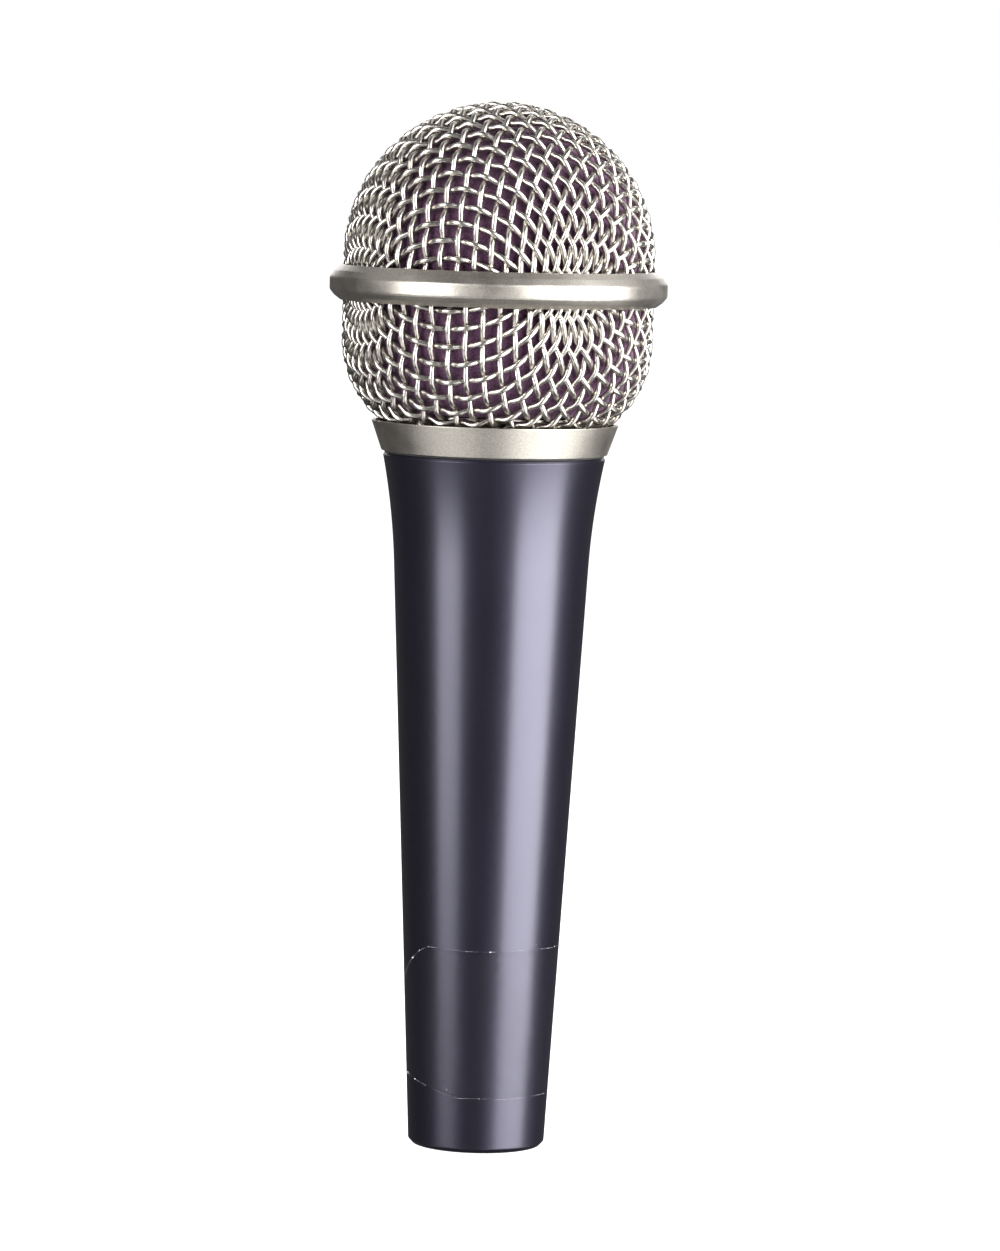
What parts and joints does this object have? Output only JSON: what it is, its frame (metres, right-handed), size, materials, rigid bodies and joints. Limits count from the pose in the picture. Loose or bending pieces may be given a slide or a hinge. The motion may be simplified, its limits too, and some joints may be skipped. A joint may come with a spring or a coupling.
{
  "type": "dynamic microphone",
  "caption": "Handheld dynamic microphone: screw-on woven wire ball with foam, shock-mounted capsule, tapered handle with a three-pin socket.",
  "frame": {"origin": "centre of the flat tail face, on the long axis", "axes": "+Z along the long axis from the tail up to the ball grille; -Y is the front, +Y the side with the locking screw"},
  "size_m": [0.0537, 0.0536, 0.1669],
  "materials": {
    "handle_paint": "satin",
    "satin_nickel": "satin",
    "mesh_wire": "satin",
    "dark_foam": "matte",
    "black_plastic": "matte",
    "contact_metal": "satin",
    "fastener_steel": "satin",
    "spring_brass": "satin",
    "clear_film": "gloss",
    "soft_rubber": "matte",
    "lead_yellow": "satin",
    "lead_green": "satin",
    "plated_steel": "satin",
    "magnet_metal": "satin",
    "grey_felt": "matte",
    "thin_film": "gloss",
    "ring_aluminium": "satin",
    "cap_metal": "satin",
    "screen_cloth": "matte",
    "board_brown": "satin",
    "coil_copper": "gloss"
  },
  "bodies": {
    "handle": {"handle_shell": "handle_paint", "connector_insert": "black_plastic", "contact_pin_1": "contact_metal", "contact_pin_2": "contact_metal", "contact_pin_3": "contact_metal", "connector_screw": "fastener_steel", "ground_clip": "spring_brass", "clear_tape": "clear_film", "carrier_sleeve": "black_plastic", "shock_mount_upper": "soft_rubber", "shock_mount_lower": "soft_rubber", "lead_wire_hot": "lead_yellow", "lead_wire_cold": "lead_green"},
    "pop_disc": {"pop_disc": "dark_foam"},
    "gasket": {"collar_gasket": "soft_rubber"},
    "head": {"grille_collar": "satin_nickel", "grille_band": "satin_nickel", "band_hoop": "satin_nickel", "grille_upper_mesh": "mesh_wire", "grille_lower_mesh": "mesh_wire", "mesh_clamp_ring": "satin_nickel", "foam_windscreen": "dark_foam"},
    "capsule": {"capsule_housing": "black_plastic", "yoke": "plated_steel", "magnet": "magnet_metal", "pole_piece": "plated_steel", "top_plate": "plated_steel", "damping_felt": "grey_felt", "diaphragm_surround": "thin_film", "diaphragm_ring": "ring_aluminium", "protective_cap": "cap_metal", "cap_screen": "screen_cloth", "rear_port_screen": "screen_cloth", "terminal_board": "board_brown", "solder_tags": "spring_brass"},
    "moving_film": {"diaphragm": "thin_film", "voice_coil": "coil_copper"}
  },
  "joints": [
    {"name": "grille_lift_off", "type": "slide", "parent": "handle", "child": "pop_disc", "axis": [0, 0, 1], "range_m": [0, 0.075]},
    {"name": "grille_rise", "type": "slide", "parent": "pop_disc", "child": "gasket", "axis": [0, 0, 1], "range_m": [0, 0.00402], "stiffness_N_per_m": 1, "springref_m": 0.597},
    {"name": "grille_turn", "type": "hinge", "parent": "gasket", "child": "head", "pos_m": [0, 0, 0.115], "axis": [0, 0, 1], "range_deg": [0, 1440]},
    {"name": "capsule_shock_travel", "type": "slide", "parent": "handle", "child": "capsule", "axis": [0, 0, 1], "range_m": [-0.0008, 0.0008], "stiffness_N_per_m": 1100, "springref_m": 0.00021, "deforming": ["shock_mount_upper", "shock_mount_lower", "lead_wire_hot", "lead_wire_cold"]},
    {"name": "diaphragm_travel", "type": "slide", "parent": "capsule", "child": "moving_film", "axis": [0, 0, 1], "range_m": [-0.00025, 0.00025], "stiffness_N_per_m": 90, "springref_m": 0.00011, "deforming": ["diaphragm_surround"]}
  ],
  "couplings": [
    {"joint": "grille_rise", "follows": "grille_turn", "m_per_rad": 0.00015915}
  ]
}
